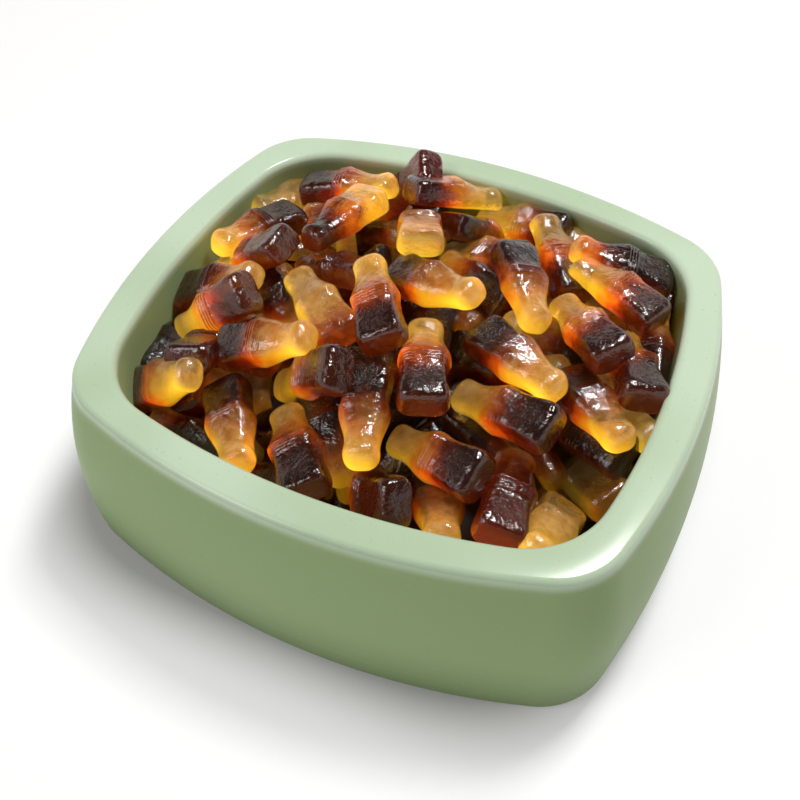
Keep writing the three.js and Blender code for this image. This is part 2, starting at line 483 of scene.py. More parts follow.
class NodeWeb:
    """A material's nodes, with short ways to add the few kinds that the finishes use."""

    def __init__(self, name: str) -> None:
        """Starts a material that holds one main shader."""
        self.material = bpy.data.materials.new(name)
        self.material.use_nodes = True
        self.tree = self.material.node_tree
        self.shader = self.tree.nodes["Principled BSDF"]

    def add(self, kind: str, **settings: object) -> bpy.types.Node:
        """A new node of a kind, with its own properties set."""
        node = self.tree.nodes.new(kind)
        for name, value in settings.items():
            setattr(node, name, value)
        return node

    def feed(self, node: bpy.types.Node, socket: str | int, value: object) -> None:
        """Links a socket to an output, or sets it to a plain value."""
        target = node.inputs[socket]
        if isinstance(value, Socket):
            self.tree.links.new(value, target)
        elif isinstance(value, tuple) and len(value) == 3 and target.type == "RGBA":
            target.default_value = (*value, 1.0)
        else:
            target.default_value = value

    def object_place(self) -> Socket:
        """The surface's own coordinates, in metres."""
        return self.add("ShaderNodeTexCoord").outputs["Object"]

    def attribute(self, name: str, output: str) -> Socket:
        """An output of a value stored on the mesh."""
        return self.add("ShaderNodeAttribute", attribute_name=name).outputs[output]

    def parts(self, vector: Socket) -> list[Socket]:
        """The three parts of a vector."""
        node = self.add("ShaderNodeSeparateXYZ")
        self.feed(node, 0, vector)
        return list(node.outputs)

    def stretched(self, vector: Socket, scale: Triple) -> Socket:
        """A vector scaled by its own amount along each axis."""
        node = self.add("ShaderNodeMapping")
        self.feed(node, "Vector", vector)
        node.inputs["Scale"].default_value = scale
        return node.outputs[0]

    def noise(self, vector: Socket, scale: float, detail: float) -> Socket:
        """Cloudy noise from 0 to 1."""
        node = self.add("ShaderNodeTexNoise")
        self.feed(node, "Vector", vector)
        node.inputs["Scale"].default_value = scale
        node.inputs["Detail"].default_value = detail
        return node.outputs["Fac"]

    def math(self, operation: str, *values: object) -> Socket:
        """A calculation on one to three values."""
        node = self.add("ShaderNodeMath", operation=operation)
        for order, value in enumerate(values):
            self.feed(node, order, value)
        return node.outputs[0]

    def ranged(
        self, value: Socket, low: float, high: float, start: float = 0.0, end: float = 1.0
    ) -> Socket:
        """A value that goes smoothly from start at low to end at high."""
        node = self.add("ShaderNodeMapRange", interpolation_type="SMOOTHSTEP")
        names = ("Value", "From Min", "From Max", "To Min", "To Max")
        for name, given in zip(names, (value, low, high, start, end)):
            self.feed(node, name, given)
        return node.outputs[0]

    def blend(self, share: object, first: object, second: object) -> Socket:
        """A colour between two others."""
        node = self.add("ShaderNodeMix", data_type="RGBA")
        self.feed(node, 0, share)
        self.feed(node, 6, first)
        self.feed(node, 7, second)
        return node.outputs[2]

    def ramp(self, share: Socket, stops: list[tuple[float, Colour]]) -> Socket:
        """A colour from a row of named stops."""
        node = self.add("ShaderNodeValToRGB")
        self.feed(node, 0, share)
        band = node.color_ramp
        while len(band.elements) < len(stops):
            band.elements.new(0.5)
        for element, (where, colour) in zip(band.elements, stops):
            element.position = where
            element.color = (*colour, 1.0)
        return node.outputs[0]

    def bump(self, height: Socket, strength: object, distance: float, over: object = None) -> Socket:
        """A normal roughened by a height, on top of another normal if one is given."""
        node = self.add("ShaderNodeBump")
        self.feed(node, "Height", height)
        self.feed(node, "Strength", strength)
        node.inputs["Distance"].default_value = distance
        if over is not None:
            self.feed(node, "Normal", over)
        return node.outputs[0]


# ---------------------------------------------------------------------------- one sweet


@dataclass(frozen=True)
class Station:
    """One cross-section of a bottle, along from its base (0) to its tip (1).

    Widths are shares of the half width and heights are shares of the thickness. Squareness is
    the section's exponent, and taper is how much narrower the front is than the back.
    """

    along: float
    width: float
    height: float
    squareness: float
    taper: float = 0.2
    ring: float = 0.0


BASE_STATIONS = (
    Station(0.0, 0.45, 0.50, 3.0),
    Station(0.0, 0.76, 0.74, 3.4),
    Station(0.018, 0.90, 0.90, 3.8, 0.14),
    Station(0.06, 0.985, 0.985, 4.0, 0.15),
    Station(0.13, 0.99, 1.0, 4.2, 0.16),
    Station(0.22, 0.935, 0.98, 4.2, 0.16),
    Station(0.32, 0.885, 0.96, 4.0, 0.15),
    Station(0.375, 0.895, 0.965, 3.8, 0.15),
)
TIP_STATIONS = (
    Station(0.525, 0.955, 1.0, 3.2, 0.14),
    Station(0.57, 0.895, 0.95, 3.0, 0.12),
    Station(0.63, 0.80, 0.875, 2.7, 0.1),
    Station(0.69, 0.705, 0.80, 2.6, 0.08),
    Station(0.75, 0.645, 0.76, 2.5, 0.08),
    Station(0.81, 0.625, 0.755, 2.5, 0.08),
    Station(0.86, 0.64, 0.79, 2.5, 0.08),
    Station(0.905, 0.665, 0.81, 2.5, 0.08),
    Station(0.95, 0.62, 0.75, 2.5, 0.08),
    Station(0.985, 0.47, 0.58, 2.4, 0.08),
    Station(1.0, 0.22, 0.32, 2.4, 0.08),
)


class Form(Enum):
    """The ways in which the sweets came out of the mould: sideways bend, and plumpness."""

    STRAIGHT = "straight"
    BENT = "bent"
    PLUMP = "plump"


@dataclass
class BottleSweet:
    """One gummy bottle, lying on its flat back with its tip along +X and its front up."""

    form: Form = Form.STRAIGHT
    length: float = 35.0 * MM
    half_width: float = 8.35 * MM
    thickness: float = 9.8 * MM
    around: int = 20
    ring_count: int = 4
    ring_start: float = 0.395
    ring_pitch: float = 0.03
    ring_crest: Pair = (0.011, 0.019)
    ring_rise: float = 0.5 * MM
    dish: float = 0.5 * MM
    dished: Pair = (0.05, 0.33)
    sag: float = 1.5 * MM
    plumpness: float = 1.06
    coarse: bool = False

    def stations(self) -> list[Station]:
        """All cross-sections, with the raised rings between the body and the shoulder."""
        if self.coarse:
            return [*BASE_STATIONS[1:6:2], BASE_STATIONS[7], *TIP_STATIONS[0:11:2]]
        rings = []
        for count in range(self.ring_count):
            start = self.ring_start + count * self.ring_pitch
            share = count / max(1, self.ring_count - 1)
            width, height = mix(0.90, 0.965, share), mix(0.965, 1.0, share)
            square = mix(3.8, 3.3, share)
            rings.append(Station(start, width, height, square, 0.15))
            for crest in self.ring_crest:
                rings.append(Station(start + crest, width, height, square, 0.15, 1.0))
        return [*BASE_STATIONS, *rings, *TIP_STATIONS]

    def section_point(self, station: Station, turn: int) -> Triple:
        """A point of a cross-section.

        Args:
            station: The section.
            turn: The point's number round it, from the bottle's left.

        Returns:
            Its place on the bottle.
        """
        angle = 2 * math.pi * turn / self.around
        cosine, sine = math.cos(angle), math.sin(angle)
        power = 2.0 / (station.squareness if sine > 0 else max(station.squareness, 4.0))
        across = math.copysign(abs(cosine) ** power, cosine)
        face = math.copysign(abs(sine) ** power, sine)
        front = max(0.0, sine)
        plump = self.plumpness if self.form is Form.PLUMP and station.along > 0.5 else 1.0
        width = self.half_width * station.width * plump * (1 - station.taper * (face + 1) / 2)
        height = self.thickness * station.height * plump
        rise = self.ring_rise * station.ring * smooth_step(0.1, 0.8, sine)
        dip = self.dish * front**6 if self.dished[0] < station.along < self.dished[1] else 0.0
        x = (station.along - 0.5) * self.length
        bend = self.sag * (2 * station.along - 1) ** 2 if self.form is Form.BENT else 0.0
        y = across * (width + rise * 0.5) + bend
        z = (face + 1) / 2 * height - self.thickness / 2 + rise - dip
        return x, y, z

    def build(self) -> Thing:
        """Extrudes the bottle from its base to its tip and smooths it.

        Returns:
            The bottle, whose points hold their place on it: along, across and towards the front.
        """
        stations = self.stations()

        def place(ring: int, turn: int) -> Triple:
            """Where a point of the skin goes."""
            return self.section_point(stations[ring], turn)

        sweet = loft_by_extrusion(f"sweet_{self.form.value}", self.around, len(stations), place)
        close_and_turn_out(sweet)
        apply_modifier(sweet, "SUBSURF", levels=1, render_levels=1)
        points = np.empty(len(sweet.data.vertices) * 3)
        sweet.data.vertices.foreach_get("co", points)
        size = np.array([self.length, self.half_width * 2, self.thickness])
        share = points.reshape(-1, 3) / size + np.array([0.5, 0.0, 0.0])
        share[:, 1:] *= 2.0
        stored = sweet.data.attributes.new("bottle_place", "FLOAT_VECTOR", "POINT")
        stored.data.foreach_set("vector", share.ravel())
        return sweet


# ---------------------------------------------------------------------------- where each lies


class Layer(Enum):
    """How deep under the mound's surface a sweet's middle lies, in millimetres."""

    CREST = 2.0
    TOP = 6.0
    UNDER = 13.0
    LOW = 20.0


class Tone(Enum):
    """How a sweet was poured: where the cola meets the amber, and how pale or red each end is."""

    COLA = (0.47, 0.25, 0.0)
    HIGH = (0.57, 0.3, 0.0)
    SHORT = (0.36, 0.3, 0.0)
    AMBER = (-0.15, 0.4, 0.1)
    TAN = (0.1, 0.7, 0.15)
    RED = (0.8, 0.3, 0.9)
    DARK = (0.75, 0.3, 0.0)


class Near(Enum):
    """Which end of a foreshortened sweet is nearer to the eye."""

    FLATTER = 0
    TIP = 1
    BASE = -1


@dataclass(frozen=True)
class Seen:
    """One sweet in sight: the pixels of its tip and base, its layer, roll and pouring.

    Most have the cola at the base. Those with cola_tip were poured the other way round.
    """

    tip: Pixel
    base: Pixel
    layer: Layer = Layer.TOP
    roll: float = 0.0
    tone: Tone = Tone.COLA
    form: Form = Form.STRAIGHT
    near: Near = Near.FLATTER
    cola_tip: bool = False


CREST, UNDER, LOW = Layer.CREST, Layer.UNDER, Layer.LOW
SEEN = (
    # Middle of the heap.
    Seen((361, 467), (367, 361), CREST),
    Seen((427, 312), (422, 413), CREST, form=Form.PLUMP),
    Seen((364, 247), (385, 352), CREST, roll=20),
    Seen((479, 300), (388, 267), CREST, form=Form.BENT),
    Seen((560, 393), (478, 326), CREST),
    Seen((385, 436), (485, 478)),
    Seen((318, 335), (212, 347), CREST),
    Seen((266, 385), (352, 362), form=Form.BENT),
    Seen((287, 264), (350, 343), tone=Tone.TAN),
    Seen((452, 388), (556, 432)),
    Seen((562, 290), (612, 365), CREST, roll=15),
    Seen((537, 333), (515, 238), roll=15),
    Seen((440, 252), (510, 314), UNDER, roll=40, tone=Tone.HIGH),
    Seen((300, 259), (376, 278), UNDER, tone=Tone.RED, roll=-30),
    Seen((530, 372), (460, 352), UNDER, tone=Tone.DARK),
    Seen((512, 330), (582, 351), UNDER, roll=50, tone=Tone.HIGH),
    Seen((588, 300), (640, 356), UNDER, tone=Tone.SHORT),
    Seen((257, 403), (240, 345), UNDER, tone=Tone.TAN),
    Seen((343, 469), (317, 398), UNDER, tone=Tone.DARK),
    Seen((288, 306), (262, 352), UNDER, tone=Tone.TAN),
    Seen((505, 455), (462, 412), UNDER, tone=Tone.DARK),
    Seen((300, 318), (266, 288), UNDER, tone=Tone.DARK),
    # Back row, from the left.
    Seen((397, 184), (303, 186), roll=10),
    Seen((306, 247), (376, 186), CREST, roll=-10, cola_tip=True),
    Seen((502, 187), (410, 192), roll=20, tone=Tone.SHORT),
    Seen((385, 212), (430, 160), tone=Tone.RED, roll=35, near=Near.BASE),
    Seen((420, 193), (420, 258), CREST, near=Near.BASE, cola_tip=True),
    Seen((440, 238), (364, 230), UNDER, roll=30),
    Seen((524, 236), (441, 228), UNDER, roll=35),
    Seen((492, 205), (558, 232), UNDER, roll=10, tone=Tone.SHORT),
    Seen((549, 211), (573, 298)),
    Seen((584, 256), (656, 322), CREST, form=Form.BENT),
    Seen((448, 248), (520, 264), UNDER, tone=Tone.SHORT),
    Seen((378, 208), (428, 203), LOW, tone=Tone.HIGH),
    # Left side, from the back.
    Seen((276, 214), (345, 226), UNDER, tone=Tone.SHORT),
    Seen((266, 206), (318, 186), LOW, tone=Tone.TAN),
    Seen((238, 238), (276, 218), UNDER, tone=Tone.HIGH),
    Seen((207, 264), (296, 244), CREST, roll=-15),
    Seen((168, 333), (258, 290), CREST, roll=30),
    Seen((258, 276), (176, 290), UNDER, tone=Tone.HIGH),
    Seen((222, 326), (191, 366), near=Near.BASE, tone=Tone.HIGH),
    Seen((206, 366), (121, 394)),
    Seen((184, 322), (148, 352), LOW, tone=Tone.DARK),
    Seen((246, 472), (214, 380), CREST),
    Seen((218, 384), (150, 412), LOW, tone=Tone.DARK),
    Seen((163, 424), (218, 456), LOW, tone=Tone.DARK),
    # Front row, from the left.
    Seen((277, 403), (313, 497), form=Form.PLUMP, tone=Tone.HIGH),
    Seen((330, 491), (407, 500), roll=15, tone=Tone.HIGH),
    Seen((248, 480), (300, 492), LOW, tone=Tone.DARK),
    Seen((384, 470), (420, 452), LOW, tone=Tone.DARK),
    Seen((441, 537), (436, 476), tone=Tone.HIGH),
    Seen((527, 453), (492, 537), tone=Tone.RED, form=Form.PLUMP),
    Seen((522, 545), (580, 515), CREST, tone=Tone.AMBER),
    Seen((553, 455), (618, 504), CREST, tone=Tone.AMBER, form=Form.PLUMP),
    Seen((503, 452), (520, 520), LOW, tone=Tone.RED),
    Seen((560, 500), (620, 520), LOW, tone=Tone.DARK),
    # Right side, from the front.
    Seen((535, 402), (628, 460), UNDER, tone=Tone.DARK, roll=20),
    Seen((620, 443), (571, 371), tone=Tone.HIGH),
    Seen((647, 432), (600, 390), UNDER, tone=Tone.AMBER),
    Seen((632, 326), (638, 408), CREST, form=Form.PLUMP),
    Seen((668, 310), (656, 388), UNDER, roll=-30, tone=Tone.HIGH),
    Seen((585, 258), (660, 272), UNDER, tone=Tone.DARK),
    Seen((577, 227), (622, 290), UNDER, tone=Tone.HIGH),
    Seen((600, 284), (668, 300), LOW, tone=Tone.DARK),
)


@dataclass
class Lying:
    """Every sweet of the heap as a rigid body, in millimetres.

    Axes hold, for each sweet, its directions towards the tip, the left and the front.
    """

    centres: np.ndarray
    axes: np.ndarray
    in_sight: np.ndarray


@dataclass
class Mound:
    """The heap's smooth top, and the cavity that holds it, in millimetres."""

    bowl: GlazedBowl
    crown_rise: float = 11.0
    edge_drop: float = 11.0
    back_lift: float = 5.0
    side_lift: float = 5.0
    shoulder: float = 2.3

    def top(self, x: np.ndarray, y: np.ndarray) -> np.ndarray:
        """Height of the heap's outline over a place."""
        across = x / (self.bowl.width / MM / 2 - self.bowl.rim_inset / MM)
        along = y / (self.bowl.depth / MM / 2 - self.bowl.rim_inset / MM)
        share = np.minimum(1.0, np.hypot(across, along)) ** self.shoulder
        rim = self.bowl.height / MM
        crown = rim + self.crown_rise
        edge = rim - self.edge_drop + self.back_lift * along + self.side_lift * np.abs(across)
        return crown + (edge - crown) * share

    def normal(self, x: float, y: float) -> np.ndarray:
        """The mound's upward normal over a place."""
        step = 1.0
        slope_x = (self.top(x + step, y) - self.top(x - step, y)) / (2 * step)
        slope_y = (self.top(x, y + step) - self.top(x, y - step)) / (2 * step)
        upward = np.array([-slope_x, -slope_y, 1.0])
        return upward / np.linalg.norm(upward)

    def wall_gap(self, points: np.ndarray) -> tuple[np.ndarray, np.ndarray]:
        """How far points are from the cavity's wall.

        Args:
            points: Places, one a row.

        Returns:
            The distance inwards from the wall, and the inward direction at each point.
        """
        bowl = self.bowl
        inset = np.array([bowl.cavity_inset(z * MM) / MM for z in points[:, 2]])
        sign = np.where(points[:, :2] < 0, -1.0, 1.0)
        x, y = np.abs(points[:, 0]), np.abs(points[:, 1])
        side, corner = bowl.cavity_plan.side / MM, bowl.cavity_plan.corner / MM
        gaps = np.empty(len(points))
        inward = np.zeros((len(points), 3))
        half_width, half_depth = bowl.width / MM / 2 - inset, bowl.depth / MM / 2 - inset
        side_x, back_y = half_width - side, half_depth - side
        span = np.hypot(side_x, back_y)
        rise = np.sqrt((side - corner) ** 2 - span * span / 4.0)
        corner_x, corner_y = side_x / 2 - rise * back_y / span, back_y / 2 - rise * side_x / span
        right = np.hypot(x - side_x, y)
        back = np.hypot(x, y - back_y)
        nook = np.hypot(x - corner_x, y - corner_y)
        by_right = y / np.maximum(x - side_x, 1e-6) < corner_y / (corner_x - side_x)
        by_back = x / np.maximum(y - back_y, 1e-6) < corner_x / (corner_y - back_y)
        in_nook = ~by_right & ~by_back
        gaps = np.minimum(side - right, side - back)
        use_right = side - right < side - back
        inward[:, 0] = np.where(use_right, -(x - side_x) / right, -x / back)
        inward[:, 1] = np.where(use_right, -y / right, -(y - back_y) / back)
        gaps = np.where(in_nook, corner - nook, gaps)
        near = np.maximum(nook, 1e-6)
        inward[:, 0] = np.where(in_nook, -(x - corner_x) / near, inward[:, 0])
        inward[:, 1] = np.where(in_nook, -(y - corner_y) / near, inward[:, 1])
        inward[:, :2] *= sign
        return gaps, inward


@dataclass
class Packing:
    """Lays the sweets through their pixels and pushes them apart until they rest."""

    mound: Mound
    eye: Viewpoint
    length: float = 35.0
    thickness: float = 9.8
    shown_thickness: float = 0.6
    least_lean: int = 10
    face_to_eye: float = 0.6
    depth_span: Pair = (200.0, 420.0)
    depth_step: float = 0.5
    clear_share: float = 0.85
    wall_room: float = 4.5
    core_depth: float = 42.0
    floor_height: float = 12.0
    lid_rise: float = 4.0
    cover: float = 11.0
    fillers: int = 84
    filler_depths: Pair = (15.0, 31.0)
    filler_spread: float = 3.0
    filler_tilt: float = 0.25
    filler_margin: float = 12.0
    filler_reach: float = 0.98
    lowest_filler: float = 20.0
    filler_layer: float = 30.0
    filler_heft: float = 0.12
    end_reach: float = 15.0
    sideways: float = 0.3
    hold: float = 0.9
    layer_bias: float = 0.8
    recall: float = 0.02
    steadiness: float = 0.12
    rounds: int = 600
    rounds_between_searches: int = 10
    search_reach: float = 4.0
    least_lifting_push: float = 0.5
    layer_step: float = 6.0
    push_gain: float = 2.4
    push_twist: float = 1.6
    wall_gain: float = 3.0
    wall_twist: float = 2.0
    lid_gain: float = 0.5
    sinking: float = 0.1
    most_shift: float = 1.5
    most_twist: float = 0.08
    seed: int = 7
    most_lean: dict[Layer, int] = field(
        default_factory=lambda: {Layer.CREST: 70, Layer.TOP: 70, Layer.UNDER: 40, Layer.LOW: 25}
    )
    knobs: np.ndarray = field(
        default_factory=lambda: np.array(
            [
                [-12.6, 3.1, 0.0, 4.6],
                [-12.6, -3.1, 0.0, 4.6],
                [-6.1, 2.8, 0.0, 4.6],
                [-6.1, -2.8, 0.0, 4.6],
                [0.0, 2.9, 0.0, 4.6],
                [0.0, -2.9, 0.0, 4.6],
                [6.6, 0.0, -0.8, 4.4],
                [12.8, 0.0, -0.6, 4.5],
            ]
        )
    )

    def lean(self, apparent: float, layer: Layer) -> float:
        """How far a sweet leans from the picture's plane, from its length in the picture."""
        angles = np.radians(np.arange(self.least_lean, self.most_lean[layer]))
        shown = self.length * np.cos(angles) + self.shown_thickness * self.thickness * np.sin(angles)
        return float(angles[np.argmin(np.abs(shown - apparent))])

    def depth_on_mound(self, seen: Seen, middle: Pixel) -> float:
        """How far along the view a sweet lies.

        Args:
            seen: The sweet's entry.
            middle: The pixel on which its middle falls.

        Returns:
            The depth at which its middle is under the mound's top by its layer's depth, or the
            nearest depth to that at which both its ends are clear of the cavity's wall.
        """
        start = self.eye.eye / MM
        depths = np.arange(*self.depth_span, self.depth_step)
        path = start + depths[:, None] * self.eye.ray(middle)
        under = path[:, 2] <= self.mound.top(path[:, 0], path[:, 1]) - seen.layer.value
        wished = depths[np.argmax(under)]
        room = np.full(len(depths), np.inf)
        for pixel in (seen.tip, seen.base, middle):
            inner = tuple(mix(m, p, self.clear_share) for m, p in zip(middle, pixel))
            ray_room = self.mound.wall_gap(start + depths[:, None] * self.eye.ray(inner))[0]
            room = np.minimum(room, ray_room)
        inside = room >= self.wall_room
        if not inside.any():
            return float(depths[np.argmax(room)])
        return float(depths[inside][np.argmin(np.abs(depths[inside] - wished))])

    def lay(self, seen: Seen) -> tuple[np.ndarray, np.ndarray]:
        """Lays one sweet on the mound through its pixels.

        Args:
            seen: The sweet's entry.

        Returns:
            Its middle and its three axes as the columns of a matrix.
        """
        start = self.eye.eye / MM
        rightward, upward = self.eye.axes
        back = self.eye.back
        middle = ((seen.tip[0] + seen.base[0]) / 2, (seen.tip[1] + seen.base[1]) / 2)
        depth = self.depth_on_mound(seen, middle)
        across = (seen.tip[0] - seen.base[0]) * depth / self.eye.focal_px
        rise = (seen.base[1] - seen.tip[1]) * depth / self.eye.focal_px
        flat = rightward * across + upward * rise
        apparent = np.linalg.norm(flat)
        flat /= apparent
        angle = self.lean(apparent, seen.layer) if apparent < self.length else 0.0
        aim = middle
        for _ in range(3):
            centre = start + depth * self.eye.ray(aim)
            normal = self.mound.normal(centre[0], centre[1])
            ways = [flat * math.cos(angle) + back * math.sin(angle) * way for way in (1.0, -1.0)]
            if seen.near is Near.FLATTER:
                along = min(ways, key=lambda way: abs(way @ normal))
            else:
                along = ways[0] if seen.near is Near.TIP else ways[1]
            reach = along * self.length / 2
            tip, base = self.eye.pixel((centre + reach) * MM), self.eye.pixel((centre - reach) * MM)
            off = [m - (t + b) / 2 for m, t, b in zip(middle, tip, base)]
            aim = (aim[0] + off[0], aim[1] + off[1])
        face = normal + back * self.face_to_eye
        face -= along * (face @ along)
        face /= np.linalg.norm(face)
        side = np.cross(face, along)
        turn = math.radians(seen.roll)
        front = face * math.cos(turn) + side * math.sin(turn)
        return centre, np.stack([along, np.cross(front, along), front], axis=1)

    def fill(self, draw: np.random.Generator) -> tuple[np.ndarray, np.ndarray]:
        """Sweets that lie unseen under the others.

        Args:
            draw: The source of their places and turns.

        Returns:
            Their middles and axes.
        """
        bowl = self.mound.bowl
        half_width = bowl.width / MM / 2 - bowl.rim_inset / MM - self.filler_margin
        half_depth = bowl.depth / MM / 2 - bowl.rim_inset / MM - self.filler_margin
        centres, axes = [], []
        golden = math.pi * (3 - math.sqrt(5))
        for count in range(self.fillers):
            radius = self.filler_reach * math.sqrt((count + 0.5) / self.fillers)
            x = half_width * radius * math.cos(count * golden)
            y = half_depth * radius * math.sin(count * golden)
            depth = self.filler_depths[count % 2] + draw.uniform(-self.filler_spread, self.filler_spread)
            z = max(self.lowest_filler, self.mound.top(x, y) - depth)
            turn, tilt = draw.uniform(0, 2 * math.pi), draw.normal(0, self.filler_tilt)
            along = np.array([math.cos(turn), math.sin(turn), math.sin(tilt)])
            along /= np.linalg.norm(along)
            side = np.cross([0.0, 0.0, 1.0], along)
            side /= np.linalg.norm(side)
            centres.append([x, y, z])
            axes.append(np.stack([along, side, np.cross(along, side)], axis=1))
        return np.array(centres), np.array(axes)

    def settle(self) -> Lying:
        """Pushes all sweets apart, down and back onto their pixels, round after round.

        Returns:
            The heap at rest.
        """
        draw = np.random.default_rng(self.seed)
        laid = [self.lay(seen) for seen in SEEN]
        fill_centres, fill_axes = self.fill(draw)
        centres = np.concatenate([np.array([centre for centre, _ in laid]), fill_centres])
        axes = np.concatenate([np.array([turned for _, turned in laid]), fill_axes])
        crowd = Crowd(self, centres, axes)
        for turn in range(self.rounds):
            if turn % self.rounds_between_searches == 0:
                crowd.find_neighbours()
            crowd.move()
        crowd.report()
        return Lying(crowd.centres, crowd.axes, crowd.in_sight)


class Crowd:
    """The sweets while they are pushed apart. Each is a few round knobs that move as one body."""

    def __init__(self, packing: Packing, centres: np.ndarray, axes: np.ndarray) -> None:
        """Takes the sweets as they were laid.

        Args:
            packing: The sizes and strengths.
            centres: Their middles, those in sight first.
            axes: Their axes.
        """
        self.packing, self.centres, self.axes = packing, centres, axes
        count, self.knobs = len(centres), len(packing.knobs)
        self.in_sight = np.arange(count) < len(SEEN)
        self.depth = np.full(count, packing.filler_layer)
        self.depth[self.in_sight] = [seen.layer.value for seen in SEEN]
        self.local, self.radius = packing.knobs[:, :3], np.tile(packing.knobs[:, 3], count)
        self.spread = (self.local**2).sum()
        self.owner = np.repeat(np.arange(count), self.knobs)
        heft = np.where(self.in_sight, 30.0 / (self.depth + 2.0) ** 1.3, packing.filler_heft)
        self.heft = heft[self.owner]
        self.start = packing.eye.eye / MM
        self.first_centres, self.first_axes = centres.copy(), axes.copy()
        self.sight = centres - self.start
        self.sight /= np.linalg.norm(self.sight, axis=1, keepdims=True)
        self.ends = np.array([[-packing.end_reach, 0.0, 0.0], [packing.end_reach, 0.0, 0.0]])
        self.held = self.tips()
        self.held /= np.linalg.norm(self.held, axis=2, keepdims=True)

    def tips(self) -> np.ndarray:
        """The two ends of each sweet, from the eye."""
        return self.centres[:, None] + np.einsum("nij,kj->nki", self.axes, self.ends) - self.start

    def spread_knobs(self) -> tuple[np.ndarray, np.ndarray]:
        """Each knob from its sweet's middle, and the places of all the knobs in one row."""
        arms = np.einsum("nij,kj->nki", self.axes, self.local)
        return arms, (self.centres[:, None] + arms).reshape(-1, 3)

    def find_neighbours(self) -> None:
        """Notes which knobs of different sweets may meet in the next rounds."""
        _, points = self.spread_knobs()
        square = (points**2).sum(1)
        apart = square[:, None] + square[None] - 2 * points @ points.T
        near = (self.radius[:, None] + self.radius[None] + self.packing.search_reach) ** 2
        first, second = np.nonzero(np.triu(apart < near, 1))
        other = self.owner[first] != self.owner[second]
        self.first, self.second = first[other], second[other]
        under = self.depth[self.owner[self.second]] - self.depth[self.owner[self.first]]
        self.bias = np.clip(under / self.packing.layer_step, -1.0, 1.0) * self.packing.layer_bias

    def pushes(self, points: np.ndarray) -> np.ndarray:
        """How each knob is pushed by those that it meets, by the floor and by the lid.

        Args:
            points: The places of the knobs.

        Returns:
            A step for each knob.
        """
        packing, first, second = self.packing, self.first, self.second
        away = points[first] - points[second]
        gap = np.maximum(np.linalg.norm(away, axis=1), 1e-6)
        self.push = np.maximum(0.0, self.radius[first] + self.radius[second] - gap)
        lift = np.where(self.push > packing.least_lifting_push, self.bias, 0.0)[:, None] * packing.eye.back
        step = away / gap[:, None] + lift
        step *= (self.push / np.maximum(np.linalg.norm(step, axis=1), 1e-6))[:, None]
        share = self.heft[second] / (self.heft[first] + self.heft[second])
        moves = np.zeros_like(points)
        np.add.at(moves, first, step * share[:, None])
        np.add.at(moves, second, -step * (1 - share)[:, None])
        top = packing.mound.top(points[:, 0], points[:, 1])
        floor = np.maximum(packing.floor_height, top - packing.core_depth)
        moves[:, 2] += np.maximum(0.0, floor + self.radius - points[:, 2])
        lid = top + np.where(self.in_sight[self.owner], packing.lid_rise, -packing.cover)
        moves[:, 2] -= np.maximum(0.0, points[:, 2] + self.radius - lid) * packing.lid_gain
        return moves

    def move(self) -> None:
        """Moves and turns every sweet by one small step."""
        packing, in_sight = self.packing, self.in_sight
        arms, points = self.spread_knobs()
        moves = self.pushes(points).reshape(arms.shape)
        shift = moves.mean(1) * packing.push_gain
        twist = np.cross(arms, moves).sum(1) / self.spread * packing.push_twist
        inwards = self.sight * (shift * self.sight).sum(1, keepdims=True)
        shift = np.where(in_sight[:, None], inwards + (shift - inwards) * packing.sideways, shift)
        shift[in_sight] += (self.first_centres - self.centres)[in_sight] * packing.recall
        astray = np.cross(self.axes, self.first_axes, axisa=1, axisb=1, axisc=1).sum(2) / 2
        twist[in_sight] += astray[in_sight] * packing.steadiness
        shift[~in_sight, 2] -= packing.sinking
        tips = self.tips()
        self.off = self.held * (tips * self.held).sum(2, keepdims=True) - tips
        self.off[~in_sight] = 0.0
        shift += self.off.mean(1) * packing.hold
        back = np.cross(tips - tips.mean(1, keepdims=True), self.off).sum(1)
        twist += back / (2 * packing.end_reach**2) * packing.hold
        gaps, inward = packing.mound.wall_gap(points)
        held_in = inward * np.maximum(0.0, self.radius - gaps)[:, None]
        held_in = held_in.reshape(arms.shape)
        shift += held_in.mean(1) * packing.wall_gain
        twist += np.cross(arms, held_in).sum(1) / self.spread * packing.wall_twist
        size = np.linalg.norm(shift, axis=1, keepdims=True)
        self.centres = self.centres + shift * np.minimum(1.0, packing.most_shift / np.maximum(size, 1e-9))
        self.turn(twist)
        self.highest = (points[:, 2] + self.radius).max()

    def turn(self, twist: np.ndarray) -> None:
        """Turns the axes by small rotation vectors and makes them square again."""
        limit = np.linalg.norm(twist, axis=1, keepdims=True)
        twist = twist * np.minimum(1.0, self.packing.most_twist / np.maximum(limit, 1e-9))
        moved = self.axes + np.cross(twist[:, None, :], self.axes.transpose(0, 2, 1)).transpose(0, 2, 1)
        along = moved[:, :, 0] / np.linalg.norm(moved[:, :, 0], axis=1, keepdims=True)
        front = moved[:, :, 2] - along * (moved[:, :, 2] * along).sum(1, keepdims=True)
        front /= np.linalg.norm(front, axis=1, keepdims=True)
        self.axes = np.stack([along, np.cross(front, along), front], axis=2)

    def report(self) -> None:
        """Logs how well the sweets rest and how far they are from their pixels."""
        push = self.push
        LOG.info("deepest overlap %.2f mm, mean %.3f mm", push.max(), push[push > 0].mean())
        LOG.info("heap top %.1f mm", self.highest)
        off = np.linalg.norm(self.off[self.in_sight], axis=2)
        LOG.info("off their pixels by %.1f mm, at most %.1f mm", off.mean(), off.max())


# ---------------------------------------------------------------------------- the heap


@dataclass(frozen=True)
class Pour:
    """One stage of the pour: the place along the bottle, the tint, the painted glow and the painted sheen
    on top.
    """

    along: float
    tint: Colour
    glow: Colour
    painted_sheen: Colour
